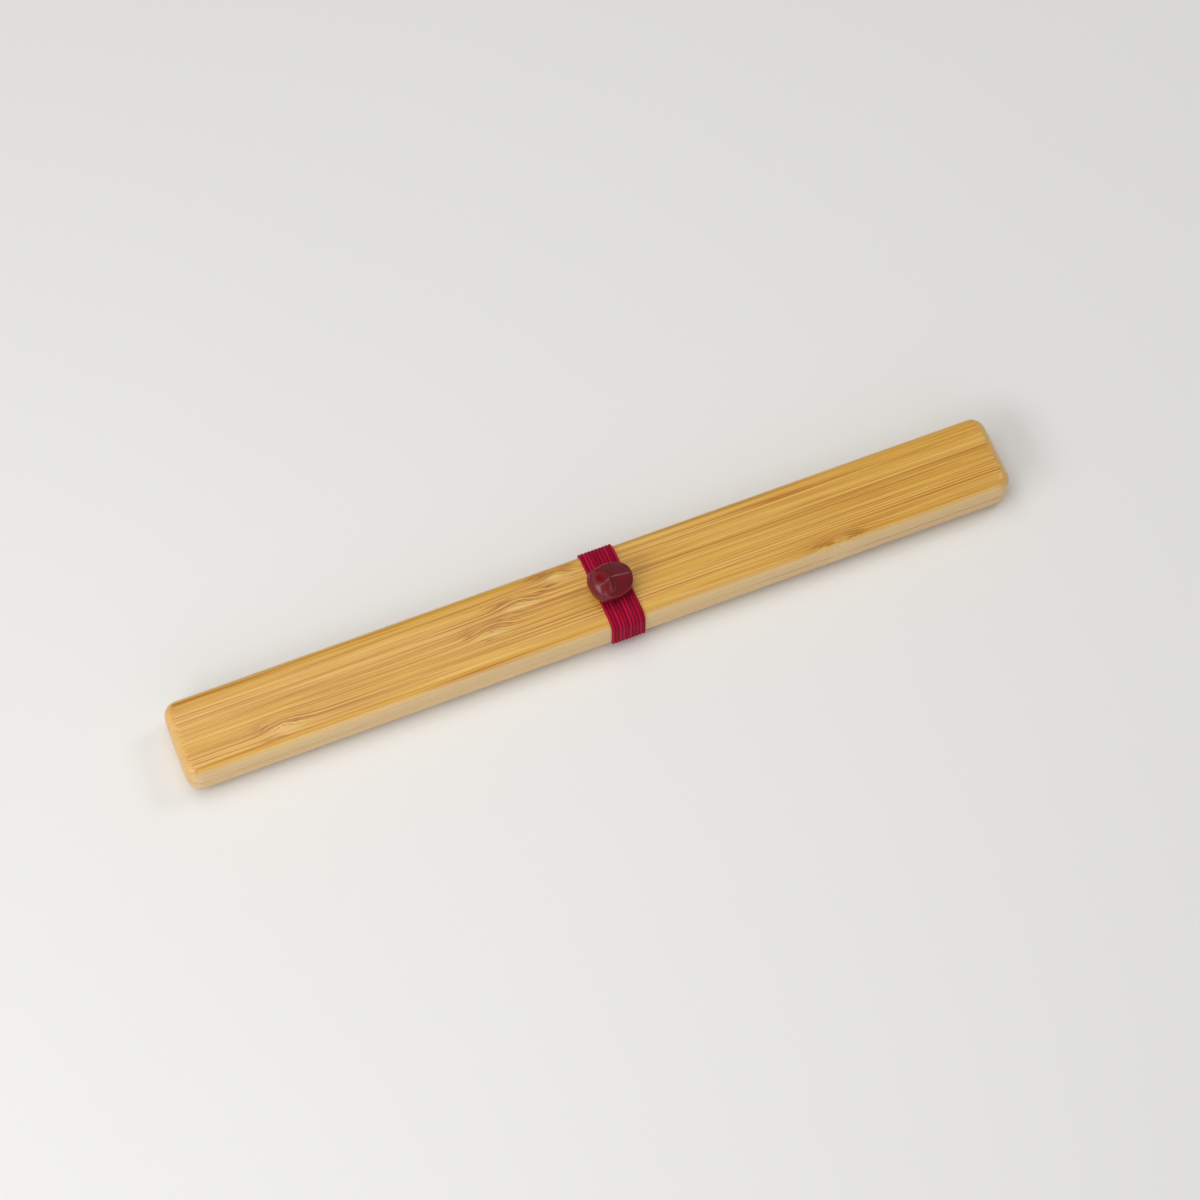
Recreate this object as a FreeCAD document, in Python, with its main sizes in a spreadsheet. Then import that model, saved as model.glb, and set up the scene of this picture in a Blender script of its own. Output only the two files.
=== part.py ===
import FreeCAD, Part
import math
import os
import Sketcher

# A pair of bamboo chopsticks in a closed bamboo case, held shut by an elastic band with a bead.
# Frame: X along the case, Y across it, Z up. The origin is under the middle of the case, at the
# underside of the band, which is what the closed case rests on. All lengths are in millimetres
# and all angles in degrees.

# Driving sizes. The case is worked out from the chopsticks, their play and the walls round them.
SIZES = {
    # the chopsticks: rounded square at the handle end, nearly round at the tip
    "stick_length": 225,
    "stick_side": 6.8,
    "stick_tip": 2.8,
    "stick_corner": 1.2,
    "stick_end_chamfer": 0.7,
    "stick_tip_chamfer": 0.5,
    # play of the chopsticks in the closed case
    "side_play": 0.8,
    "top_play": 0.8,
    "end_play": 3.5,
    # the walls left round the routed channel
    "side_wall": 4.1,
    "end_wall": 6.5,
    "floor_wall": 2.2,
    "ceiling_wall": 2.2,
    "channel_corner": 3,
    # the outside of the case
    "base_height": 6,
    "case_corner": 4.3,
    "edge_fillet": 3,
    "parting_chamfer": 0.2,
    # the lid's locating lip and its clearance in the base's rabbet
    "lip_width": 1.4,
    "lip_height": 1.2,
    "lip_gap": 0.15,
    # the elastic band: a woven web with ribs on its outer face
    "band_width": 10.1,
    "band_place": 5.45,
    "band_skew": 1.5,
    "web_thickness": 0.5,
    "rib_height": 0.3,
    "rib_count": 10,
    "rib_width": 0.62,
    "band_gap": 0.05,
    # the bead: an egg with a flat foot, two crowned facets that meet at its apex, and a dimple
    "bead_length": 12.8,
    "bead_width": 11,
    "bead_height": 8.2,
    "bead_foot_depth": 0.35,
    "bead_offset_x": -0.77,
    "bead_offset_y": -1.1,
    "apex_x": -0.9,
    "apex_y": -0.4,
    "apex_drop": 0.1,
    "rear_facet_radius": 14,
    "rear_facet_turn": 48,
    "rear_facet_tilt": 16,
    "front_facet_radius": 12,
    "front_facet_turn": -51,
    "front_facet_tilt": 18,
    "dimple_radius": 3.5,
    "dimple_x": -4.4,
    "dimple_y": 1.3,
    "dimple_rise": 1.4,
    "bead_fillet": 0.5,
    # the thread that sews the bead to the band
    "thread_size": 0.3,
    "thread_gap": 0.05,
    "stitch_span": 3,
    "stitch_rise": 1.6,
}

# Sizes that follow from the driving ones, as formulas.
BAND_THICKNESS = "(sizes.web_thickness + sizes.rib_height)"
CASE_BOTTOM = f"({BAND_THICKNESS} + sizes.band_gap)"
CHANNEL_LENGTH = "(sizes.stick_length + 2 * sizes.end_play)"
CHANNEL_WIDTH = "(2 * sizes.stick_side + 3 * sizes.side_play)"
CASE_LENGTH = f"({CHANNEL_LENGTH} + 2 * sizes.end_wall)"
CASE_WIDTH = f"({CHANNEL_WIDTH} + 2 * sizes.side_wall)"
CASE_HEIGHT = "(sizes.floor_wall + sizes.stick_side + sizes.top_play + sizes.ceiling_wall)"
LID_HEIGHT = f"({CASE_HEIGHT} - sizes.base_height)"
CASE_TOP = f"({CASE_BOTTOM} + {CASE_HEIGHT})"
BAND_TOP = f"({CASE_TOP} + sizes.band_gap + {BAND_THICKNESS})"
RIB_PITCH = "(sizes.band_width / sizes.rib_count)"
BEAD_X = "(sizes.band_place + sizes.bead_offset_x)"
STITCH_LOW = "(sizes.thread_gap + sizes.thread_size / 2)"
STITCH_HEIGHT = f"(sizes.band_gap + {BAND_THICKNESS} + sizes.stitch_rise - {STITCH_LOW})"

doc = FreeCAD.newDocument("chopstick_case")


def fill_sheet():
    sheet = doc.addObject("Spreadsheet::Sheet", "sizes")
    for row, (name, value) in enumerate(SIZES.items(), start=1):
        sheet.set(f"A{row}", str(value))
        sheet.setAlias(f"A{row}", name)
    doc.recompute()
    return sheet


sizes = fill_sheet()


def number(formula):
    """The value of a formula of the sheet's sizes."""
    value = sizes.evalExpression(formula)
    return float(getattr(value, "Value", value))


def place(item, x="0", y="0", z="0"):
    """Put a body or primitive at a point given by three formulas."""
    for axis, formula in zip("xyz", (x, y, z)):
        item.setExpression(f".Placement.Base.{axis}", formula)


def turn(item, axis, angle):
    """Turn a body or primitive about an axis of three formulas, by an angle formula."""
    for name, formula in zip("xyz", axis):
        item.setExpression(f".Placement.Rotation.Axis.{name}", formula)
    item.setExpression(".Placement.Rotation.Angle", angle)


def set_sizes(item, **formulas):
    """Bind properties of an object to formulas."""
    for name, formula in formulas.items():
        item.setExpression(name, formula)


def origin_plane(body, role):
    return next(item for item in body.Origin.OriginFeatures if item.Role == role)


def body_sketch(body, name, role):
    """A sketch on one of the body's own origin planes."""
    sketch = body.newObject("Sketcher::SketchObject", name)
    sketch.AttachmentSupport = (origin_plane(body, role), [""])
    sketch.MapMode = "FlatFace"
    return sketch


def rounded_rectangle(sketch, length, width, radius, name="outline"):
    """A rounded rectangle centred on the sketch's origin, its three sizes bound to formulas."""
    along = number(length) / 2
    across = number(width) / 2
    corner = number(radius)
    up = FreeCAD.Vector(0, 0, 1)
    first = sketch.GeometryCount
    signs = [(1, -1), (1, 1), (-1, 1), (-1, -1)]
    for index, (side_x, side_y) in enumerate(signs):
        last_x, last_y = signs[index - 1]
        x, y = side_x * along, side_y * across
        inset_x, inset_y = side_x * (along - corner), side_y * (across - corner)
        if side_y == last_y:
            start = FreeCAD.Vector(last_x * (along - corner), y, 0)
            end = FreeCAD.Vector(inset_x, y, 0)
        else:
            start = FreeCAD.Vector(x, last_y * (across - corner), 0)
            end = FreeCAD.Vector(x, inset_y, 0)
        centre = FreeCAD.Vector(inset_x, inset_y, 0)
        circle = Part.Circle(centre, up, corner)
        turned = (index - 1) * math.pi / 2
        sketch.addGeometry(Part.LineSegment(start, end))
        sketch.addGeometry(Part.ArcOfCircle(circle, turned, turned + math.pi / 2))
    for index in range(8):
        following = first + (index + 1) % 8
        sketch.addConstraint(Sketcher.Constraint("Tangent", first + index, 2, following, 1))
    for index in (0, 4):
        sketch.addConstraint(Sketcher.Constraint("Horizontal", first + index))
    for index in (2, 6):
        sketch.addConstraint(Sketcher.Constraint("Vertical", first + index))
    for index in (3, 5, 7):
        sketch.addConstraint(Sketcher.Constraint("Equal", first + 1, first + index))
    sketch.addConstraint(Sketcher.Constraint("Symmetric", first + 1, 3, first + 5, 3, -1, 1))
    left_to_right = (first + 6, 1, first + 2, 1)
    front_to_rear = (first, 1, first + 4, 1)
    dimensions = [
        (f"{name}_length", length, Sketcher.Constraint("DistanceX", *left_to_right, 2 * along)),
        (f"{name}_width", width, Sketcher.Constraint("DistanceY", *front_to_rear, 2 * across)),
        (f"{name}_radius", radius, Sketcher.Constraint("Radius", first + 1, corner)),
    ]
    bind_dimensions(sketch, dimensions)


def rectangle(sketch, length, width):
    """A sharp rectangle centred on the sketch's origin, its two sizes bound to formulas."""
    along = number(length) / 2
    across = number(width) / 2
    signs = [(-1, -1), (1, -1), (1, 1), (-1, 1)]
    corners = [FreeCAD.Vector(x * along, y * across, 0) for x, y in signs]
    for start, end in zip(corners, corners[1:] + corners[:1]):
        sketch.addGeometry(Part.LineSegment(start, end))
    for index, direction in enumerate(("Horizontal", "Vertical", "Horizontal", "Vertical")):
        following = (index + 1) % 4
        sketch.addConstraint(Sketcher.Constraint("Coincident", index, 2, following, 1))
        sketch.addConstraint(Sketcher.Constraint(direction, index))
    sketch.addConstraint(Sketcher.Constraint("Symmetric", 0, 1, 2, 1, -1, 1))
    dimensions = [
        ("length", length, Sketcher.Constraint("DistanceX", 0, 1, 0, 2, 2 * along)),
        ("width", width, Sketcher.Constraint("DistanceY", 1, 1, 1, 2, 2 * across)),
    ]
    bind_dimensions(sketch, dimensions)


def bind_dimensions(sketch, dimensions):
    """Add named constraints to a sketch, each bound to its formula."""
    for name, formula, constraint in dimensions:
        index = sketch.addConstraint(constraint)
        sketch.renameConstraint(index, name)
        sketch.setExpression(f"Constraints.{name}", formula)


def pad(body, sketch, length, name, reverse=False):
    feature = body.newObject("PartDesign::Pad", name)
    feature.Profile = sketch
    feature.Reversed = reverse
    feature.setExpression("Length", length)
    doc.recompute()
    return feature


def pocket(body, sketch, depth, name, reverse=False):
    feature = body.newObject("PartDesign::Pocket", name)
    feature.Profile = sketch
    feature.Reversed = reverse
    feature.setExpression("Length", depth)
    doc.recompute()
    return feature


def edges_at(shape, axis, value):
    """The names of a shape's edges that lie wholly at one coordinate along an axis."""
    low, high = f"{axis}Min", f"{axis}Max"
    found = []
    for index, edge in enumerate(shape.Edges, start=1):
        box = edge.BoundBox
        if abs(getattr(box, low) - value) < 1e-4 and abs(getattr(box, high) - value) < 1e-4:
            found.append(f"Edge{index}")
    return found


def ease(body, feature, axis, value, kind, size, name):
    """Fillet or chamfer all edges of a feature that lie at one coordinate along an axis."""
    easing = body.newObject(f"PartDesign::{kind}", name)
    easing.Base = (feature, edges_at(feature.Shape, axis, value))
    easing.setExpression("Radius" if kind == "Fillet" else "Size", size)
    doc.recompute()
    return easing


def long_edges(shape, length):
    """The names of a shape's edges that are longer than a length."""
    return [f"Edge{index}" for index, edge in enumerate(shape.Edges, start=1) if edge.Length > length]


def channel_sketch(body, name, margin="0"):
    """The outline of the routed channel, or one a margin outside it."""
    sketch = body_sketch(body, name, "XY_Plane")
    channel_outline(sketch, margin)
    return sketch


def channel_outline(sketch, margin="0", name="outline"):
    rounded_rectangle(
        sketch,
        f"{CHANNEL_LENGTH} + 2 * {margin}",
        f"{CHANNEL_WIDTH} + 2 * {margin}",
        f"sizes.channel_corner + {margin}",
        name,
    )


def case_block(body, height):
    """The outer block of one half of the case, standing on the body's XY plane."""
    sketch = body_sketch(body, f"{body.Name}_outline", "XY_Plane")
    rounded_rectangle(sketch, CASE_LENGTH, CASE_WIDTH, "sizes.case_corner")
    return pad(body, sketch, height, f"{body.Name}_block")


def case_base():
    """The lower half, with the channel and a rabbet round its mouth for the lid's lip."""
    body = doc.addObject("PartDesign::Body", "case_base")
    block = case_block(body, "sizes.base_height")
    top = number("sizes.base_height")
    rounded = ease(body, block, "Z", 0, "Fillet", "sizes.edge_fillet", "base_edge_fillet")
    ease(body, rounded, "Z", top, "Chamfer", "sizes.parting_chamfer", "base_parting_chamfer")
    channel = channel_sketch(body, "base_channel_outline")
    channel.setExpression(".AttachmentOffset.Base.z", "sizes.base_height")
    pocket(body, channel, "sizes.base_height - sizes.floor_wall", "base_channel")
    rabbet = channel_sketch(body, "rabbet_outline", "(sizes.lip_width + sizes.lip_gap)")
    rabbet.setExpression(".AttachmentOffset.Base.z", "sizes.base_height")
    pocket(body, rabbet, "sizes.lip_height + sizes.lip_gap", "rabbet")
    place(body, z=CASE_BOTTOM)
    return body


def case_lid():
    """The upper half, with the channel and a lip that drops into the base's rabbet."""
    body = doc.addObject("PartDesign::Body", "case_lid")
    block = case_block(body, LID_HEIGHT)
    top = number(LID_HEIGHT)
    rounded = ease(body, block, "Z", top, "Fillet", "sizes.edge_fillet", "lid_edge_fillet")
    ease(body, rounded, "Z", 0, "Chamfer", "sizes.parting_chamfer", "lid_parting_chamfer")
    channel = channel_sketch(body, "lid_channel_outline")
    pocket(body, channel, f"{LID_HEIGHT} - sizes.ceiling_wall", "lid_channel", reverse=True)
    lip = channel_sketch(body, "lip_outline", "sizes.lip_width")
    channel_outline(lip, name="inside")
    pad(body, lip, "sizes.lip_height", "locating_lip", reverse=True)
    place(body, z=f"{CASE_BOTTOM} + sizes.base_height")
    return body


def chopstick(name, side):
    """One tapered stick, lying with its flat lower side on the floor of the channel."""
    body = doc.addObject("PartDesign::Body", name)
    shaft = body.newObject("PartDesign::AdditiveWedge", f"{name}_shaft")
    set_sizes(
        shaft,
        Xmin="-sizes.stick_side / 2",
        Xmax="sizes.stick_side / 2",
        Ymin="0",
        Ymax="sizes.stick_length",
        Zmin="0",
        Zmax="sizes.stick_side",
        X2min="-sizes.stick_tip / 2",
        X2max="sizes.stick_tip / 2",
        Z2min="0",
        Z2max="sizes.stick_tip",
    )
    doc.recompute()
    length = number("sizes.stick_length")
    rounded = body.newObject("PartDesign::Fillet", f"{name}_corners")
    rounded.Base = (shaft, long_edges(shaft.Shape, length / 2))
    rounded.setExpression("Radius", "sizes.stick_corner")
    doc.recompute()
    end = ease(body, rounded, "Y", 0, "Chamfer", "sizes.stick_end_chamfer", f"{name}_end")
    ease(body, end, "Y", length, "Chamfer", "sizes.stick_tip_chamfer", f"{name}_point")
    place(
        body,
        x="-sizes.stick_length / 2",
        y=f"{side} * (sizes.stick_side + sizes.side_play) / 2",
        z=f"{CASE_BOTTOM} + sizes.floor_wall",
    )
    turn(body, ("0", "0", "1"), "-90")
    return body


def band_sketch(name, layer):
    """A loop round the case's section, a given layer away from the wood."""
    sketch = doc.addObject("Sketcher::SketchObject", name)
    rounded_rectangle(
        sketch,
        f"{CASE_WIDTH} + 2 * {layer}",
        f"{CASE_HEIGHT} + 2 * {layer}",
        f"sizes.edge_fillet + {layer}",
    )
    sketch.Placement.Rotation = FreeCAD.Rotation(FreeCAD.Vector(1, 1, 1), 120)
    place(sketch, x="sizes.band_place", z=f"{CASE_BOTTOM} + {CASE_HEIGHT} / 2")
    return sketch


def band_tube(name, layer):
    """A solid bar along the case with the section of one layer of the band."""
    tube = doc.addObject("Part::Extrusion", name)
    tube.Base = band_sketch(f"{name}_section", layer)
    tube.DirMode = "Normal"
    tube.Solid = True
    tube.Symmetric = True
    tube.setExpression("LengthFwd", f"2 * sizes.band_width + {CASE_WIDTH}")
    return tube


def band_slab(name, width, centre):
    """An upright slab across the case, in the band's own direction before its skew."""
    slab = doc.addObject("Part::Box", name)
    reach = f"(2 * {CASE_WIDTH})"
    set_sizes(slab, Length=width, Width=reach, Height=f"2 * {BAND_TOP}")
    place(slab, x=f"{centre} - {width} / 2", y=f"-{reach} / 2", z=f"-{BAND_TOP} / 2")
    return slab


def skewed(name, slabs):
    """Slabs gathered and turned to the band's direction, at the band's place."""
    group = doc.addObject("Part::Compound", name)
    group.Links = slabs
    place(group, x="sizes.band_place")
    turn(group, ("0", "0", "1"), "sizes.band_skew")
    return group


def boolean(kind, name, base, tool):
    item = doc.addObject(f"Part::{kind}", name)
    item.Base = base
    item.Tool = tool
    return item


def elastic_band(thread_path):
    """The endless band: a web with ribs, pierced where the thread passes through it."""
    inside = band_tube("band_inside", "sizes.band_gap")
    web_tube = band_tube("web_tube", "(sizes.band_gap + sizes.web_thickness)")
    rib_tube = band_tube("rib_tube", f"(sizes.band_gap + {BAND_THICKNESS})")
    web_slab = band_slab("web_slab", "sizes.band_width", "0")
    ribs = []
    for index in range(int(number("sizes.rib_count"))):
        centre = f"({index} + 0.5 - sizes.rib_count / 2) * {RIB_PITCH}"
        ribs.append(band_slab(f"rib_slab_{index}", "sizes.rib_width", f"({centre})"))
    web = boolean("Common", "web", web_tube, skewed("web_cut", [web_slab]))
    rib_rings = boolean("Common", "rib_rings", rib_tube, skewed("rib_cut", ribs))
    woven = boolean("Fuse", "woven", web, rib_rings)
    loop = boolean("Cut", "band_loop", woven, inside)
    return boolean("Cut", "elastic_band", loop, thread_path)


def thread_loop(name, thread):
    """A closed thread of a given diameter through the bead's foot and round under the band."""
    body = doc.addObject("PartDesign::Body", name)
    path = body_sketch(body, f"{name}_path", "YZ_Plane")
    path.setExpression(".AttachmentOffset.Base.y", f"{STITCH_LOW} + {STITCH_HEIGHT} / 2")
    rectangle(path, "sizes.stitch_span", STITCH_HEIGHT)
    section = body_sketch(body, f"{name}_section", "XZ_Plane")
    section.setExpression(".AttachmentOffset.Base.y", STITCH_LOW)
    section.setExpression(".AttachmentOffset.Base.z", "sizes.stitch_span / 2")
    size = number(thread)
    circle = Part.Circle(FreeCAD.Vector(0, 0, 0), FreeCAD.Vector(0, 0, 1), size / 2)
    section.addGeometry(circle)
    section.addConstraint(Sketcher.Constraint("Coincident", 0, 3, -1, 1))
    bind_dimensions(section, [("thread", thread, Sketcher.Constraint("Diameter", 0, size))])
    doc.recompute()
    pipe = body.newObject("PartDesign::AdditivePipe", f"{name}_pipe")
    pipe.Profile = section
    pipe.Spine = path
    pipe.Transition = "Right corner"
    place(body, f"sizes.band_place + {RIB_PITCH} / 2", "sizes.bead_offset_y", CASE_TOP)
    turn(body, ("0", "0", "1"), "sizes.band_skew")
    doc.recompute()
    return body


def bead_ball(name, radius, x, y, z):
    """A ball that shapes the bead, placed from the middle of the bead's foot."""
    ball = doc.addObject("Part::Sphere", name)
    set_sizes(ball, Radius=radius)
    place(ball, x=f"{BEAD_X} + {x}", y=f"sizes.bead_offset_y + {y}", z=f"{BAND_TOP} + {z}")
    return ball


def facet_ball(name):
    """The ball whose surface is one crowned facet, leaning away from the bead's apex."""
    radius, turned, tilt = (f"sizes.{name}_{size}" for size in ("radius", "turn", "tilt"))
    return bead_ball(
        name,
        radius,
        f"sizes.apex_x - {radius} * sin({tilt}) * cos({turned})",
        f"sizes.apex_y - {radius} * sin({tilt}) * sin({turned})",
        f"sizes.bead_height - sizes.apex_drop - {radius} * cos({tilt})",
    )


def bead_egg():
    """The bead's egg shape before it is cut, sunk into the band by the depth of its foot."""
    egg = doc.addObject("Part::Ellipsoid", "bead_egg")
    half_height = "((sizes.bead_height + sizes.bead_foot_depth) / 2)"
    set_sizes(
        egg, Radius1=half_height, Radius2="sizes.bead_length / 2", Radius3="sizes.bead_width / 2"
    )
    place(egg, BEAD_X, "sizes.bead_offset_y", f"{BAND_TOP} + sizes.bead_height - {half_height}")
    return egg


def fillet_bead(base):
    """Round the creases round the facets and the dimple, but not the foot's rim."""
    doc.recompute()
    radius = number("sizes.bead_fillet")
    lowest = number(BAND_TOP) + radius
    shape = base.Shape
    creases = []
    for index, edge in enumerate(shape.Edges, start=1):
        faces = shape.ancestorsOfType(edge, Part.Face)
        if len(faces) == 2 and edge.BoundBox.ZMin > lowest:
            creases.append((index, radius, radius))
    rounded = doc.addObject("Part::Fillet", "bead_rounded")
    rounded.Base = base
    rounded.Edges = creases
    return rounded


def bead(thread_path):
    """The bead, cut flat under its foot where it sits on the band's ribs."""
    below = doc.addObject("Part::Cylinder", "below_foot")
    set_sizes(below, Radius="sizes.bead_length", Height="sizes.bead_height")
    place(below, BEAD_X, "sizes.bead_offset_y", f"{BAND_TOP} - sizes.bead_height")
    footed = boolean("Cut", "bead_footed", bead_egg(), below)
    rear = boolean("Common", "bead_with_rear_facet", footed, facet_ball("rear_facet"))
    faceted = boolean("Common", "bead_with_facets", rear, facet_ball("front_facet"))
    dimple = bead_ball(
        "dimple",
        "sizes.dimple_radius",
        "sizes.dimple_x",
        "sizes.dimple_y",
        "sizes.bead_height + sizes.dimple_rise",
    )
    shaped = boolean("Cut", "bead_with_dimple", faceted, dimple)
    return boolean("Cut", "bead", fillet_bead(shaped), thread_path)


def check_document(nodes):
    """Stop if any object failed, or a sub-part is not one or more valid solids."""
    for item in doc.Objects:
        if "Invalid" in item.State or "Error" in item.State:
            raise RuntimeError(f"{item.Name} failed: {item.State}")
    for node in nodes:
        if node.Shape.isNull() or not node.Shape.isValid() or not node.Shape.Solids:
            raise RuntimeError(f"{node.Label} has no valid solid")


def main():
    thread_path = thread_loop("thread_path", "sizes.thread_size + 2 * sizes.thread_gap")
    nodes = [
        case_base(),
        case_lid(),
        chopstick("chopstick_front", "-1"),
        chopstick("chopstick_rear", "1"),
        elastic_band(thread_path),
        bead(thread_path),
        thread_loop("bead_stitch", "sizes.thread_size"),
    ]
    doc.recompute()
    check_document(nodes)
    os.makedirs("parts", exist_ok=True)
    for node in nodes:
        node.Shape.exportStep(f"parts/{node.Label}.step")
        box = node.Shape.BoundBox
        print(
            f"{node.Label}: {len(node.Shape.Solids)} solid, {node.Shape.Volume:.1f} mm3, "
            f"x {box.XMin:.2f} {box.XMax:.2f}, y {box.YMin:.2f} {box.YMax:.2f}, "
            f"z {box.ZMin:.2f} {box.ZMax:.2f}"
        )


main()
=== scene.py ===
import math

import bpy
import numpy as np
from mathutils import Matrix, Vector


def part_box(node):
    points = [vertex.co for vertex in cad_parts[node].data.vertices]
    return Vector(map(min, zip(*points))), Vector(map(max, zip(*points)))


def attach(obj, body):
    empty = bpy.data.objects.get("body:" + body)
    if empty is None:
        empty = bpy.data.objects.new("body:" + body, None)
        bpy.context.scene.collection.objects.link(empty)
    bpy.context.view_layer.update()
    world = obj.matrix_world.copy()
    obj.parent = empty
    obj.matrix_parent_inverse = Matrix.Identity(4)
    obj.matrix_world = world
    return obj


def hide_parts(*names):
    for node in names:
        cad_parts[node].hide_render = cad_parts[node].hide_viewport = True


# Bamboo chopsticks in a closed bamboo case with an elastic band and a bead.
# X runs along the case, Y across it, Z up. Lengths are in metres, and MM turns millimetres
# into them. The materials and the bead's form work in millimetres.

MM = 0.001

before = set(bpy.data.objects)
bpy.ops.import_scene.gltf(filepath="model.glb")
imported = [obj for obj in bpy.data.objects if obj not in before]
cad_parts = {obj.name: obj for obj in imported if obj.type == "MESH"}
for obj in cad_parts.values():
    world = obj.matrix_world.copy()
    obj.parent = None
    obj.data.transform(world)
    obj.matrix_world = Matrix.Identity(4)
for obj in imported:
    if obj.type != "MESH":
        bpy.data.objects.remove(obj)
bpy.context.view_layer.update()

# The camera, as fitted to the photo's outline of the case
CAMERA_ELEVATION = math.radians(64.94)
CAMERA_TURN = math.radians(21.54)
CAMERA_DISTANCE = 1010 * MM
CAMERA_ASIDE = 1.93 * MM
CAMERA_UPWARD = 2.69 * MM
CAMERA_LENS = 108.3
CAMERA_SENSOR = 36
CAMERA_NEAR = 0.01

# The room's light: its mean level, and how much more comes from the left and from below
ROOM_LEVEL = 0.26
ROOM_LEAN = (-0.05, 0.0, -0.02)

# The lamps, which all point at the origin: name, place, size and power in watts
LAMPS = [
    ("window", (-0.64, -0.26, 0.52), (0.7, 0.27), 3.3),
    ("ceiling", (-0.22, 0.2, 1.0), (0.8, 0.8), 4.2),
    ("fill", (0.6, 0.1, 0.7), (0.3, 0.3), 1.4),
    ("front", (-0.1, -0.8, 0.4), (0.9, 0.35), 0.95),
]
FLOOR_REACH = 3

# The band: its width and slant, and how its woven web, ribs and yarns build up its thickness.
# It bends round the case's rounded edges. Its own edges are steep, and its yarns turn as they
# run along it. Its place along the case comes from the frame.
BAND_WIDTH = 10.1 * MM
BAND_SKEW = math.radians(1.5)
BAND_GAP = 0.05 * MM
BAND_WEB = 0.59 * MM
BAND_RIB = 0.18 * MM
BAND_YARN = 0.03 * MM
BAND_RIBS = 10
EDGE_FILLET = 3 * MM
EDGE_STEEPNESS = 16
YARN_TURNS = 6.6
YARN_SLANT = 40

# The band's U coordinate for each metre along it. Its V coordinate runs across it from 0 to 1.
ROUTE_SCALE = 10

# How finely the band is divided: the step along it, the columns on each rib and on its inner face
BAND_STEP = 0.2 * MM
RIB_COLUMNS = 12
INNER_COLUMNS = 11


def srgb(red, green, blue):
    """A display colour from 0 to 255 as the linear colour that a shader takes."""
    values = []
    for part in (red, green, blue):
        part /= 255
        values.append(part / 12.92 if part <= 0.04045 else ((part + 0.055) / 1.055) ** 2.4)
    return (*values, 1)


class Graph:
    """A material's node tree, with short calls that add nodes and link them."""

    def __init__(self, name):
        self.material = bpy.data.materials.new(name)
        self.material.use_nodes = True
        self.tree = self.material.node_tree
        self.tree.nodes.clear()
        self.output = self.tree.nodes.new("ShaderNodeOutputMaterial")
        self.shader = self.tree.nodes.new("ShaderNodeBsdfPrincipled")
        self.tree.links.new(self.shader.outputs[0], self.output.inputs["Surface"])

    def feed(self, socket, value):
        """Link a node's output to a socket, or set a plain value on it."""
        if isinstance(value, bpy.types.NodeSocket):
            self.tree.links.new(value, socket)
        else:
            socket.default_value = value

    def node(self, kind, **settings):
        node = self.tree.nodes.new(kind)
        for name, value in settings.items():
            setattr(node, name, value)
        return node

    def math(self, operation, *values):
        node = self.node("ShaderNodeMath", operation=operation)
        for socket, value in zip(node.inputs, values):
            self.feed(socket, value)
        return node.outputs[0]

    def add(self, *values):
        total = values[0]
        for value in values[1:]:
            total = self.math("ADD", total, value)
        return total

    def times(self, *values):
        total = values[0]
        for value in values[1:]:
            total = self.math("MULTIPLY", total, value)
        return total

    def smooth(self, value, low, high):
        """0 below low and 1 above high, with a smooth step between them."""
        node = self.node("ShaderNodeMapRange", interpolation_type="SMOOTHSTEP")
        for socket, given in zip(node.inputs, (value, low, high, 0.0, 1.0)):
            self.feed(socket, given)
        return node.outputs[0]

    def bell(self, value, centre, spread):
        """A bump of height 1 round a centre."""
        away = self.math("DIVIDE", self.math("SUBTRACT", value, centre), spread)
        return self.math("EXPONENT", self.times(away, away, -1.0))

    def vector(self, x, y, z):
        node = self.node("ShaderNodeCombineXYZ")
        for socket, value in zip(node.inputs, (x, y, z)):
            self.feed(socket, value)
        return node.outputs[0]

    def noise(self, vector, detail=2.0, roughness=0.5, scale=1.0):
        node = self.node("ShaderNodeTexNoise", noise_dimensions="3D")
        self.feed(node.inputs["Vector"], vector)
        node.inputs["Scale"].default_value = scale
        node.inputs["Detail"].default_value = detail
        node.inputs["Roughness"].default_value = roughness
        return node.outputs["Fac"]

    def mix(self, factor, first, second):
        node = self.node("ShaderNodeMix", data_type="RGBA")
        self.feed(node.inputs["Factor"], factor)
        self.feed(node.inputs["A"], first)
        self.feed(node.inputs["B"], second)
        return node.outputs["Result"]

    def bump(self, height, distance, strength):
        node = self.node("ShaderNodeBump")
        node.inputs["Strength"].default_value = strength
        node.inputs["Distance"].default_value = distance
        self.feed(node.inputs["Height"], height)
        return node.outputs[0]

    def place(self):
        """The point's place on the object along X, Y and Z, in millimetres."""
        coordinates = self.node("ShaderNodeTexCoord")
        scaled = self.node("ShaderNodeVectorMath", operation="SCALE")
        self.feed(scaled.inputs[0], coordinates.outputs["Object"])
        scaled.inputs["Scale"].default_value = 1 / MM
        split = self.node("ShaderNodeSeparateXYZ")
        self.feed(split.inputs[0], scaled.outputs[0])
        return split.outputs

    def finish(self, color, roughness, normal=None, **constants):
        self.feed(self.shader.inputs["Base Color"], color)
        self.feed(self.shader.inputs["Roughness"], roughness)
        if normal is not None:
            self.feed(self.shader.inputs["Normal"], normal)
        for name, value in constants.items():
            self.shader.inputs[name.replace("_", " ")].default_value = value
        return self.material


# The places of the bamboo's growth nodes on the case, along X and Y
GROWTH_NODES = [(-93.0, -6.8), (-30.5, -0.9), (-21.0, 4.0), (-8.2, 8.4), (70.0, -11.3)]

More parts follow.
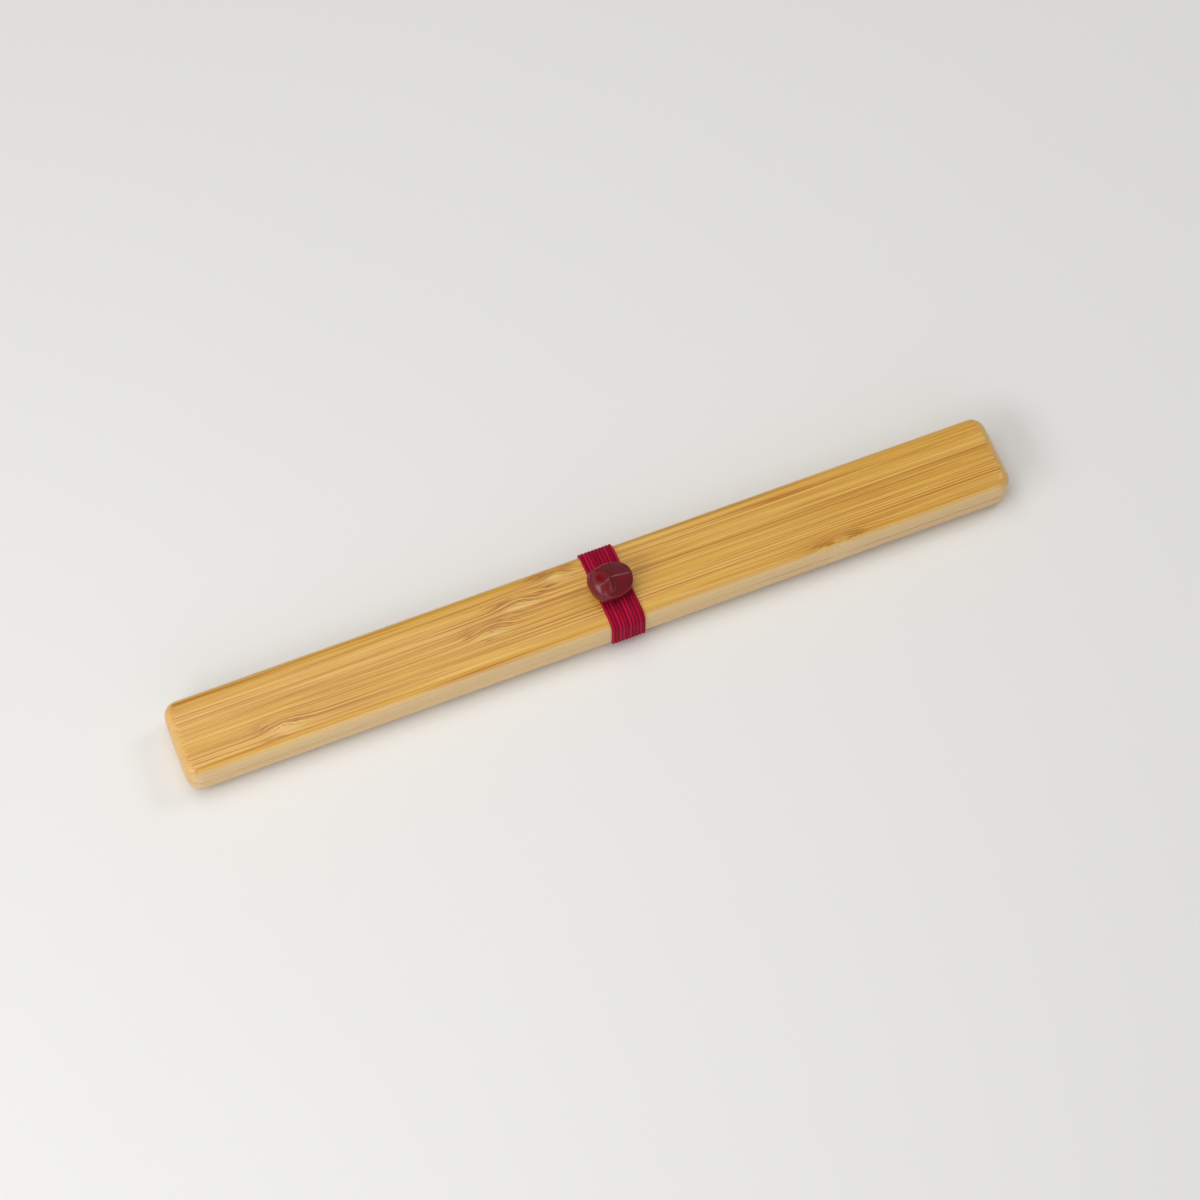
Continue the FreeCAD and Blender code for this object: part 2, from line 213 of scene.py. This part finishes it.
# Soft ovals at each growth node: middle and spread along X, then middle and spread along Y.
# The fibres bend round it, with dark strokes, a patch of pale wood and flecks in its core.
NODE_BEND = [(0.0, 6.0, 1.2, 2.4)]
NODE_STROKES = [(-5.0, 4.2, 1.4, 1.7), (4.5, 4.4, 1.0, 1.7), (-3.0, 3.6, -2.5, 0.8)]
NODE_PALE = [(0.8, 4.6, -0.9, 1.3)]
NODE_FLECKS = [(0.0, 3.4, 0.3, 0.8)]
BEND_DEPTH = 1.5


def growth_marks(graph, x, y, ovals):
    """A mask of soft ovals at every growth node."""
    mask = 0.0
    for node_x, node_y in GROWTH_NODES:
        for middle_x, spread_x, middle_y, spread_y in ovals:
            along = graph.bell(x, node_x + middle_x, spread_x)
            across = graph.bell(y, node_y + middle_y, spread_y)
            mask = graph.add(mask, graph.times(along, across))
    return mask


# Layers of fibres in the bamboo: a fibre's length and width, its place in the noise, the levels
# of the noise between which it shows, and for short marks the noise's detail and roughness
TONE = (170.0, 3.0, 0.0, 0.25, 0.75)
FADING = (60.0, 3.4, 31.0, 0.4, 0.62)
HAIR = (42.0, 0.42, 13.0, 0.46, 0.54)
BRIGHT = (70.0, 0.5, 43.0, 0.58, 0.64)
STROKE = (6.5, 0.4, 53.0, 0.49, 0.55, 1.0, 0.6)
FLECK = (2.4, 0.36, 71.0, 0.52, 0.6, 2.0, 0.6)

# Rare darker dashes in the bamboo, as such layers, each with its strength
DASHES = [
    ((95.0, 0.62, 19.0, 0.59, 0.64), 0.6),
    ((70.0, 0.42, 23.0, 0.57, 0.62), 0.5),
    ((45.0, 0.34, 29.0, 0.56, 0.61), 0.42),
]

# The bamboo's colours: light and middle wood with dark fibres, for the case and the chopsticks
CASE_WOOD = dict(light=srgb(225, 176, 79), middle=srgb(216, 166, 66), dark=srgb(176, 105, 20))
STICK_WOOD = dict(light=srgb(226, 190, 130), middle=srgb(208, 166, 100), dark=srgb(180, 134, 70))
BRIGHT_FIBRE = srgb(240, 202, 124)
PALE_WOOD = srgb(236, 198, 120)
STROKE_WOOD = srgb(156, 94, 28)
FLECK_WOOD = srgb(124, 74, 24)
# Painted light: the case's sides are mixed toward this paler colour, standing in for the pale floor's
# reflection and the light from the front
SIDE_PAINTED_LIGHT = srgb(230, 202, 154)
END_WOOD = srgb(228, 186, 122)

# The bamboo pieces: node, place in the noise, colours, and whether growth nodes show on it
WOODEN_NODES = [
    ("case_base", 3.0, CASE_WOOD, True),
    ("case_lid", 0.0, CASE_WOOD, True),
    ("chopstick_front", 40.0, STICK_WOOD, False),
    ("chopstick_rear", 49.0, STICK_WOOD, False),
]


def bamboo(name, seed, light, middle, dark, marks):
    """Bamboo with long fibres and rare darker dashes.

    The case also gets the marks of its growth nodes, paler wood on its ends, and painted light on its
    sides, which are made paler to stand in for light from the floor and the front.
    """
    graph = Graph(name)
    x, y, z = graph.place()
    line = y
    if marks:
        bend = graph.times(growth_marks(graph, x, y, NODE_BEND), BEND_DEPTH)
        line = graph.math("SUBTRACT", y, bend)

    def fibres(length, width, offset, low, high, detail=1.0, rough=0.5):
        vector = graph.vector(
            graph.add(graph.math("DIVIDE", x, length), seed + offset),
            graph.math("DIVIDE", line, width),
            graph.math("DIVIDE", z, width),
        )
        return graph.smooth(graph.noise(vector, detail, rough), low, high)

    tone, fading, hair = fibres(*TONE), fibres(*FADING), fibres(*HAIR)
    color = graph.mix(tone, middle, light)
    color = graph.mix(graph.times(hair, graph.add(graph.times(fading, 0.12), 0.2)), color, dark)
    for layer, strength in DASHES:
        share = graph.add(graph.times(fading, strength * 0.6), strength * 0.7)
        color = graph.mix(graph.times(fibres(*layer), share), color, dark)
    bright = fibres(*BRIGHT)
    color = graph.mix(graph.times(bright, 0.35), color, BRIGHT_FIBRE)
    if marks:
        pale = growth_marks(graph, x, y, NODE_PALE)
        color = graph.mix(graph.times(pale, 0.6), color, PALE_WOOD)
        strokes = growth_marks(graph, x, y, NODE_STROKES)
        color = graph.mix(graph.times(strokes, fibres(*STROKE), 0.8), color, STROKE_WOOD)
        flecks = growth_marks(graph, x, y, NODE_FLECKS)
        color = graph.mix(graph.times(flecks, fibres(*FLECK), 0.65), color, FLECK_WOOD)
        normals = graph.node("ShaderNodeSeparateXYZ")
        graph.feed(normals.inputs[0], graph.node("ShaderNodeTexCoord").outputs["Normal"])
        # Painted light: the sides are made paler, standing in for light reflected from the floor and
        # coming from the front
        side = graph.smooth(graph.math("ABSOLUTE", normals.outputs[1]), 0.45, 0.95)
        color = graph.mix(graph.times(side, 0.7), color, SIDE_PAINTED_LIGHT)
        end = graph.smooth(graph.math("ABSOLUTE", normals.outputs[0]), 0.08, 0.6)
        color = graph.mix(graph.times(end, 0.65), color, END_WOOD)
    relief = graph.add(graph.times(bright, 0.6), graph.times(hair, 0.4))
    normal = graph.bump(relief, 0.02 * MM, 0.4)
    roughness = graph.add(0.3, graph.times(hair, 0.05), graph.times(tone, -0.03))
    return graph.finish(color, roughness, normal, Specular_IOR_Level=0.5)


# The elastic's colours: painted shade between the ribs, the ribs themselves, a painted highlight on
# the rib crests, the yarns, and a painted highlight along its edges
GAP_SHADE_RED = srgb(110, 0, 24)
RIB_RED = srgb(138, 0, 37)
CREST_HIGHLIGHT_RED = srgb(204, 26, 74)
YARN_RED = srgb(176, 8, 54)
FUZZ_RED = srgb(188, 24, 66)
EDGE_HIGHLIGHT_RED = srgb(200, 24, 56)
SHEEN_RED = srgb(230, 110, 130)


def elastic_material():
    """Crimson elastic: uneven yarns along each rib, with painted shade between the ribs and painted
    highlights on their crests and edges.
    """
    graph = Graph("elastic_yarn")
    split = graph.node("ShaderNodeSeparateXYZ")
    graph.feed(split.inputs[0], graph.node("ShaderNodeUVMap").outputs[0])
    along, across = split.outputs[0], split.outputs[1]
    phase = graph.times(across, float(BAND_RIBS))
    ribs = graph.math("ABSOLUTE", graph.math("SINE", graph.times(phase, math.pi)))
    cord = graph.smooth(ribs, 0.05, 0.6)
    twist = graph.math("SINE", graph.add(graph.times(along, 620.0), graph.times(across, 90.0)))
    rib = graph.math("FLOOR", phase)
    own = graph.noise(graph.vector(graph.times(rib, 5.3), graph.times(along, 3.0), 2.0), 1.0)
    yarn = graph.noise(graph.vector(graph.times(along, 9.0), graph.times(phase, 1.1), 0.0), 2.0, 0.6)
    fuzz = graph.noise(graph.vector(graph.times(along, 80.0), graph.times(phase, 5.0), 4.0), 2.0, 0.6)
    edge = graph.smooth(graph.math("ABSOLUTE", graph.add(across, -0.5)), 0.45, 0.49)
    # Painted shade: the gaps between the ribs are darker
    color = graph.mix(cord, GAP_SHADE_RED, RIB_RED)
    crest = graph.smooth(ribs, 0.5, 1.0)
    # Painted highlight on the rib crests, partly varied at random from rib to rib
    color = graph.mix(graph.times(graph.smooth(own, 0.38, 0.6), crest, 0.75), color, CREST_HIGHLIGHT_RED)
    color = graph.mix(graph.times(graph.smooth(yarn, 0.45, 0.7), 0.3), color, YARN_RED)
    color = graph.mix(graph.times(graph.smooth(fuzz, 0.5, 0.75), 0.35), color, FUZZ_RED)
    # Painted highlight: the band's two edges are brighter
    color = graph.mix(graph.times(edge, 0.5), color, EDGE_HIGHLIGHT_RED)
    height = graph.add(graph.times(twist, 0.3), graph.times(fuzz, 0.7))
    return graph.finish(
        color,
        0.8,
        graph.bump(height, 0.06 * MM, 0.6),
        Specular_IOR_Level=0.12,
        Sheen_Weight=0.1,
        Sheen_Roughness=0.5,
        Sheen_Tint=SHEEN_RED,
    )


# The colours of the bead and the painted shade of its dimple, of the thread and of the floor
BEAD_DARK, BEAD_LIGHT, DIMPLE_SHADE_RED = srgb(100, 0, 16), srgb(112, 3, 20), srgb(124, 0, 16)
THREAD_DARK, THREAD_LIGHT = srgb(92, 4, 26), srgb(150, 16, 50)
FLOOR_DARK, FLOOR_LIGHT = srgb(231, 230, 226), srgb(234, 233, 230)


def bead_material():
    """Dark maroon, semi-gloss, with a slightly uneven skin, duller in its dimple and painted a deeper
    red there as shade.
    """
    graph = Graph("bead_maroon")
    x, y, z = graph.place()
    vector = graph.vector(x, y, z)
    cloud = graph.noise(vector, 2.0, 0.5, 0.35)
    grain = graph.noise(vector, 3.0, 0.6, 2.6)
    shaded_hollow = graph.times(graph.bell(x, BEAD_HOLLOW[0], 2.1), graph.bell(y, BEAD_HOLLOW[1], 1.8))
    color = graph.mix(graph.smooth(cloud, 0.35, 0.65), BEAD_DARK, BEAD_LIGHT)
    # Painted shade: the dimple is mixed toward a deeper red, standing in for its interreflected light
    color = graph.mix(graph.times(shaded_hollow, 0.8), color, DIMPLE_SHADE_RED)
    shine = graph.add(0.58, graph.times(shaded_hollow, -0.5))
    graph.feed(graph.shader.inputs["Specular IOR Level"], shine)
    roughness = graph.add(0.28, graph.times(grain, 0.08), graph.times(shaded_hollow, 0.25))
    return graph.finish(color, roughness, graph.bump(grain, 0.04 * MM, 0.5))


def thread_material():
    """Twisted sewing thread."""
    graph = Graph("sewing_thread")
    x, y, z = graph.place()
    twist = graph.math("SINE", graph.times(graph.add(y, z, x), 14.0))
    color = graph.mix(graph.smooth(twist, -0.6, 0.8), THREAD_DARK, THREAD_LIGHT)
    return graph.finish(color, 0.7, graph.bump(twist, 0.03 * MM, 0.6), Sheen_Weight=0.2)


def floor_material():
    """The pale table, with a trace of unevenness."""
    graph = Graph("pale_floor")
    x, y, z = graph.place()
    cloud = graph.noise(graph.vector(x, y, z), 2.0, 0.5, 0.004)
    color = graph.mix(cloud, FLOOR_DARK, FLOOR_LIGHT)
    return graph.finish(color, 0.75, None, Specular_IOR_Level=0.2)


def new_mesh(name, points, faces, material, smooth=True):
    """A mesh object from points and faces, shaded smooth unless the caller says otherwise."""
    mesh = bpy.data.meshes.new(name)
    mesh.from_pydata([tuple(point) for point in points], [], faces)
    mesh.materials.append(material)
    if smooth:
        mesh.shade_smooth()
    piece = bpy.data.objects.new(name, mesh)
    bpy.context.scene.collection.objects.link(piece)
    return piece


def loop_route(width, height, radius, step):
    """Points and outward normals in Y and Z round a rounded rectangle, with the way along it."""
    half_y, half_z = width / 2 - radius, height / 2 - radius
    corners = [(half_y, -half_z), (half_y, half_z), (-half_y, half_z), (-half_y, -half_z)]
    points, normals = [], []
    for index, (y, z) in enumerate(corners):
        count = max(4, round(radius * math.pi / 2 / step))
        for part in range(count + 1):
            angle = math.pi / 2 * (index - 1 + part / count)
            normal = (math.cos(angle), math.sin(angle))
            points.append((y + radius * normal[0], z + radius * normal[1]))
            normals.append(normal)
        next_y, next_z = corners[(index + 1) % 4]
        start = np.array(points[-1])
        end = np.array((next_y + radius * normals[-1][0], next_z + radius * normals[-1][1]))
        count = max(2, round(float(np.linalg.norm(end - start)) / step))
        for part in range(1, count):
            points.append(tuple(start + (end - start) * part / count))
            normals.append(normals[-1])
    points, normals = np.array(points), np.array(normals)
    lengths = np.linalg.norm(np.roll(points, -1, axis=0) - points, axis=1)
    return points, normals, np.concatenate(([0], np.cumsum(lengths)))


def band_profile(columns):
    """Places across the band from -1 to 1, with the ribs' rise and the edges' rounding there."""
    across = np.linspace(-1, 1, columns)
    phase = (across + 1) / 2 * BAND_RIBS
    ribs = np.sin(phase * math.pi) ** 2
    edge = np.clip((1 - np.abs(across)) * EDGE_STEEPNESS, 0, 1) ** 0.5
    return across, ribs, edge


def elastic_band(material):
    """The endless band round the closed case, with its ribs and their twisted yarns."""
    base_low, base_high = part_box("case_base")
    lid_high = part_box("case_lid")[1]
    band_low, band_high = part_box("elastic_band")
    middle_x = (band_low[0] + band_high[0]) / 2
    middle_z = (base_low[2] + lid_high[2]) / 2
    width = base_high[1] - base_low[1]
    height = lid_high[2] - base_low[2]
    route, normals, way = loop_route(width, height, EDGE_FILLET, BAND_STEP)
    across, ribs, edge = band_profile(BAND_RIBS * RIB_COLUMNS + 1)
    inner = np.linspace(1, -1, INNER_COLUMNS + 2)[1:-1]
    rows = len(route)
    columns = len(across) + len(inner) + 2
    points = np.zeros((rows, columns, 3))
    uvs = np.zeros((rows, columns, 2))
    for row in range(rows):
        y, z = route[row]
        out_y, out_z = normals[row]
        yarn = np.sin(way[row] / MM * YARN_TURNS + across * YARN_SLANT) * BAND_YARN * ribs
        outside = BAND_GAP + edge * (BAND_WEB + BAND_RIB * ribs + yarn)
        side = np.full(1, BAND_GAP)
        lift = np.concatenate((side, outside, side, np.full(len(inner), BAND_GAP)))
        place = np.concatenate(((-1,), across, (1,), inner))
        points[row, :, 1] = y + out_y * lift
        points[row, :, 2] = middle_z + z + out_z * lift
        along_x = place * BAND_WIDTH / 2 / math.cos(BAND_SKEW)
        points[row, :, 0] = middle_x + along_x - points[row, :, 1] * math.tan(BAND_SKEW)
        uvs[row, :, 0] = way[row]
        uvs[row, :, 1] = (place + 1) / 2
    faces = []
    for row in range(rows):
        after = (row + 1) % rows
        for column in range(columns):
            beside = (column + 1) % columns
            here, there = row * columns, after * columns
            faces.append((here + column, here + beside, there + beside, there + column))
    piece = new_mesh("elastic_band_woven", points.reshape(-1, 3), faces, material)
    layer = piece.data.uv_layers.new(name="route")
    flat = uvs.reshape(-1, 2)
    for polygon in piece.data.polygons:
        row = polygon.index // columns
        for loop_index in polygon.loop_indices:
            vertex = piece.data.loops[loop_index].vertex_index
            u = flat[vertex, 0]
            if row == rows - 1 and vertex // columns == 0:
                u = way[-1]
            layer.data[loop_index].uv = (u * ROUTE_SCALE, flat[vertex, 1])
    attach(piece, "root")
    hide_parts("elastic_band")


# The bead's form, in millimetres from the middle of its foot. It is a rounded body with three
# low lobes, two crowned facets at its right, a shoulder at its left front, two rim facets
# behind and a dimple at its left. A curved fold runs from its top to the front: a ridge with a
# fine groove beside it. A shallow crease lies between the ridge and the shoulder.
# A facet has its radius, turn, tilt and blend, the shoulder its radius, place, lean and blend,
# a rim its place, normal and blend, and the dimple its middle, radius and blend.
BEAD_CENTRE = (4.68, -1.02)
BEAD_HALF = np.array((6.3, 5.25, 4.2))
BEAD_MIDDLE = np.array((0.0, 0.0, 3.95))
BEAD_POWER = 2.5
BEAD_LOBE_TURN = math.radians(45)
BEAD_LOBE_RISE = 0.04
BEAD_APEX = np.array((-0.35, -0.3, 7.86))
BEAD_FACETS = [(45.0, 52.0, 21.0, 0.1), (45.0, -62.0, 29.0, 0.3)]
BEAD_SHOULDER = (9.5, np.array((-3.9, -2.3, 6.96)), np.array((-0.46, -0.415, 0.785)), 0.4)
BEAD_RIMS = [
    (np.array((-2.9, 4.12, 5.9)), np.array((-0.27, 0.87, 0.42)), 0.15),
    (np.array((1.5, 4.25, 6.2)), np.array((0.1, 0.78, 0.62)), 0.15),
]
BEAD_DIMPLE = (np.array((-2.8, 1.0, 11.0)), 3.9, 0.8)

# The middle of the dimple's painted shade, in millimetres from the part's origin
BEAD_HOLLOW = (BEAD_CENTRE[0] - 2.7, BEAD_CENTRE[1] + 0.9)

# The fold's line: its place along X at its middle, its middle along Y, how much it bows to the
# right there, and its two ends along Y, each with the stretch in which it fades out. The fold
# and the crease show above a level.
FOLD_PLACE, FOLD_MIDDLE, FOLD_BOW = 0.03, -1.9, 0.15
FOLD_ENDS = (-4.3, 0.6, -0.1, 0.5)
FOLD_LEVEL = 4

# Depth, place beside the fold's line and width of its groove, and the same of its ridge, which
# is wider to its left than to its right
GROOVE_DEPTH, GROOVE_PLACE, GROOVE_WIDTH = 0.16, 0.28, 0.22
RIDGE_RISE, RIDGE_PLACE = 0.38, -0.3
RIDGE_LEFT, RIDGE_RIGHT = 0.75, 0.36

# The crease: its depth, place and width, its slant round its middle along Y, and its ends
CREASE_DEPTH, CREASE_PLACE, CREASE_WIDTH = 0.2, -2.75, 0.75
CREASE_SLANT, CREASE_MIDDLE = 0.1, -1.4
CREASE_ENDS = (-5.2, 1.5, -1.2, 1.5)

# How finely the bead's skin is divided, and the search along each ray from its middle
BEAD_RINGS, BEAD_SPOKES = 220, 360
RAY_START = np.array((-0.2, -0.2, 4.0))
RAY_LENGTH = 12.0
RAY_HALVINGS = 30


def soft_max(first, second, blend):
    """The larger of two fields, rounded where they are about equal."""
    overlap = np.clip(blend - np.abs(first - second), 0, None)
    return np.maximum(first, second) + overlap ** 2 / (4 * blend)


def groove(away, width):
    """A smooth groove or ridge of depth 1 along a line."""
    return np.exp(-((away / width) ** 2))


def between(place, low, low_fade, high, high_fade):
    """1 between two ends and 0 beyond them, with a straight fade inside each."""
    return np.clip((place - low) / low_fade, 0, 1) * np.clip((high - place) / high_fade, 0, 1)


def fold_depth(points):
    """How much the fold's groove and the crease sink the bead's skin, less the ridge's lift."""
    x, y, z = points[..., 0], points[..., 1], points[..., 2]
    aside = x - (FOLD_PLACE - FOLD_BOW * (y - FOLD_MIDDLE) ** 2)
    sunk = GROOVE_DEPTH * groove(aside - GROOVE_PLACE, GROOVE_WIDTH)
    ridge_width = np.where(aside < RIDGE_PLACE, RIDGE_LEFT, RIDGE_RIGHT)
    lifted = RIDGE_RISE * groove(aside - RIDGE_PLACE, ridge_width)
    fold = (sunk - lifted) * between(y, *FOLD_ENDS)
    slanted = x - CREASE_PLACE - CREASE_SLANT * (y - CREASE_MIDDLE)
    crease = CREASE_DEPTH * groove(slanted, CREASE_WIDTH) * between(y, *CREASE_ENDS)
    return (fold + crease) * (z > FOLD_LEVEL)


def bead_field(points):
    """Below 0 inside the bead, above 0 outside it, at points in millimetres."""
    turned = np.arctan2(points[..., 1], points[..., 0])
    lobes = 1 + BEAD_LOBE_RISE * np.cos(3 * turned - BEAD_LOBE_TURN)
    shape = (points - BEAD_MIDDLE) / BEAD_HALF
    shape = shape / np.stack((lobes, lobes, np.ones_like(lobes)), axis=-1)
    body = (np.abs(shape) ** BEAD_POWER).sum(axis=-1) ** (1 / BEAD_POWER) - 1
    field = body * BEAD_HALF[2]
    for radius, turn, tilt, blend in BEAD_FACETS:
        turn, tilt = math.radians(turn), math.radians(tilt)
        aside = math.sin(tilt)
        lean = np.array((aside * math.cos(turn), aside * math.sin(turn), math.cos(tilt)))
        facet = np.linalg.norm(points - (BEAD_APEX - radius * lean), axis=-1) - radius
        field = soft_max(field, facet, blend)
    radius, place, lean, blend = BEAD_SHOULDER
    shoulder = np.linalg.norm(points - (place - radius * lean), axis=-1) - radius
    field = soft_max(field, shoulder, blend)
    for place, normal, blend in BEAD_RIMS:
        rim = ((points - place) * normal).sum(axis=-1) / np.linalg.norm(normal)
        field = soft_max(field, rim, blend)
    middle, radius, blend = BEAD_DIMPLE
    field = soft_max(field, radius - np.linalg.norm(points - middle, axis=-1), blend)
    field = field + fold_depth(points)
    return soft_max(field, -points[..., 2], 0.3)


def bead(material):
    """The bead as a fine skin, found along rays from its middle."""
    tilt = np.linspace(0, math.pi, BEAD_RINGS)[:, None]
    turned = np.linspace(0, 2 * math.pi, BEAD_SPOKES, endpoint=False)[None, :]
    rays = np.stack(
        (
            np.sin(tilt) * np.cos(turned),
            np.sin(tilt) * np.sin(turned),
            np.cos(tilt) * np.ones_like(turned),
        ),
        axis=-1,
    )
    near = np.zeros(rays.shape[:2])
    far = np.full(rays.shape[:2], RAY_LENGTH)
    for _ in range(RAY_HALVINGS):
        reach = (near + far) / 2
        outside = bead_field(RAY_START + rays * reach[..., None]) > 0
        far = np.where(outside, reach, far)
        near = np.where(outside, near, reach)
    skin = RAY_START + rays * near[..., None]
    origin = np.array((BEAD_CENTRE[0] * MM, BEAD_CENTRE[1] * MM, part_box("bead")[0][2]))
    points = np.concatenate((skin[:1, 0], skin[1:-1].reshape(-1, 3), skin[-1:, 0]))
    points = origin + points * MM
    last = len(points) - 1
    faces = []
    for spoke in range(BEAD_SPOKES):
        beside = (spoke + 1) % BEAD_SPOKES
        faces.append((0, 1 + spoke, 1 + beside))
        for ring in range(BEAD_RINGS - 3):
            start = 1 + ring * BEAD_SPOKES
            below = start + BEAD_SPOKES
            faces.append((start + spoke, below + spoke, below + beside, start + beside))
        start = 1 + (BEAD_RINGS - 3) * BEAD_SPOKES
        faces.append((start + spoke, last, start + beside))
    piece = new_mesh("bead_polished", points, faces, material)
    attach(piece, "root")
    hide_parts("bead")


def dress(node, material):
    """Give a CAD node its material."""
    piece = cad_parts[node]
    piece.data.materials.clear()
    piece.data.materials.append(material)


def camera():
    """The photo's view of the closed case."""
    data = bpy.data.cameras.new("camera")
    data.lens = CAMERA_LENS
    data.sensor_width = CAMERA_SENSOR
    data.clip_start = CAMERA_NEAR
    piece = bpy.data.objects.new("camera", data)
    bpy.context.scene.collection.objects.link(piece)
    right = Vector((1, 0, 0))
    up = Vector((0, math.sin(CAMERA_ELEVATION), math.cos(CAMERA_ELEVATION)))
    forward = Vector((0, math.cos(CAMERA_ELEVATION), -math.sin(CAMERA_ELEVATION)))
    place = right * CAMERA_ASIDE + up * CAMERA_UPWARD - forward * CAMERA_DISTANCE
    turned = Matrix.Rotation(-CAMERA_TURN, 4, "Z")
    axes = Matrix((right, up, -forward)).transposed().to_4x4()
    base_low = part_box("case_base")[0]
    lifted = Matrix.Translation((0, 0, base_low[2]))
    piece.matrix_world = lifted @ turned @ Matrix.Translation(place) @ axes
    bpy.context.scene.camera = piece


def area_light(name, place, size, power):
    """A soft rectangular lamp that points at the origin."""
    data = bpy.data.lights.new(name, "AREA")
    data.shape = "RECTANGLE"
    data.size, data.size_y = size
    data.energy = power
    piece = bpy.data.objects.new(name, data)
    bpy.context.scene.collection.objects.link(piece)
    aim = -Vector(place)
    piece.rotation_euler = aim.to_track_quat("-Z", "Y").to_euler()
    piece.location = place


def studio():
    """Light from a pale room and four soft lamps, and the pale floor."""
    world = bpy.data.worlds.new("studio")
    bpy.context.scene.world = world
    world.use_nodes = True
    tree = world.node_tree
    room = tree.nodes["Background"]
    room.inputs["Color"].default_value = (1, 1, 1, 1)
    direction = tree.nodes.new("ShaderNodeTexCoord")
    lean = tree.nodes.new("ShaderNodeVectorMath")
    lean.operation = "DOT_PRODUCT"
    tree.links.new(direction.outputs["Generated"], lean.inputs[0])
    lean.inputs[1].default_value = ROOM_LEAN
    level = tree.nodes.new("ShaderNodeMath")
    level.operation = "ADD"
    tree.links.new(lean.outputs["Value"], level.inputs[0])
    level.inputs[1].default_value = ROOM_LEVEL
    tree.links.new(level.outputs[0], room.inputs["Strength"])
    for name, place, size, power in LAMPS:
        area_light(name, place, size, power)
    reach = FLOOR_REACH
    corners = [(-reach, -reach, 0), (reach, -reach, 0), (reach, reach, 0), (-reach, reach, 0)]
    floor = new_mesh("floor", corners, [(0, 1, 2, 3)], floor_material(), smooth=False)


def main():
    bpy.context.scene.view_settings.view_transform = "Standard"
    camera()
    studio()
    for node, seed, wood, marks in WOODEN_NODES:
        dress(node, bamboo(f"{node}_bamboo", seed, marks=marks, **wood))
    dress("bead_stitch", thread_material())
    elastic_band(elastic_material())
    bead(bead_material())


main()
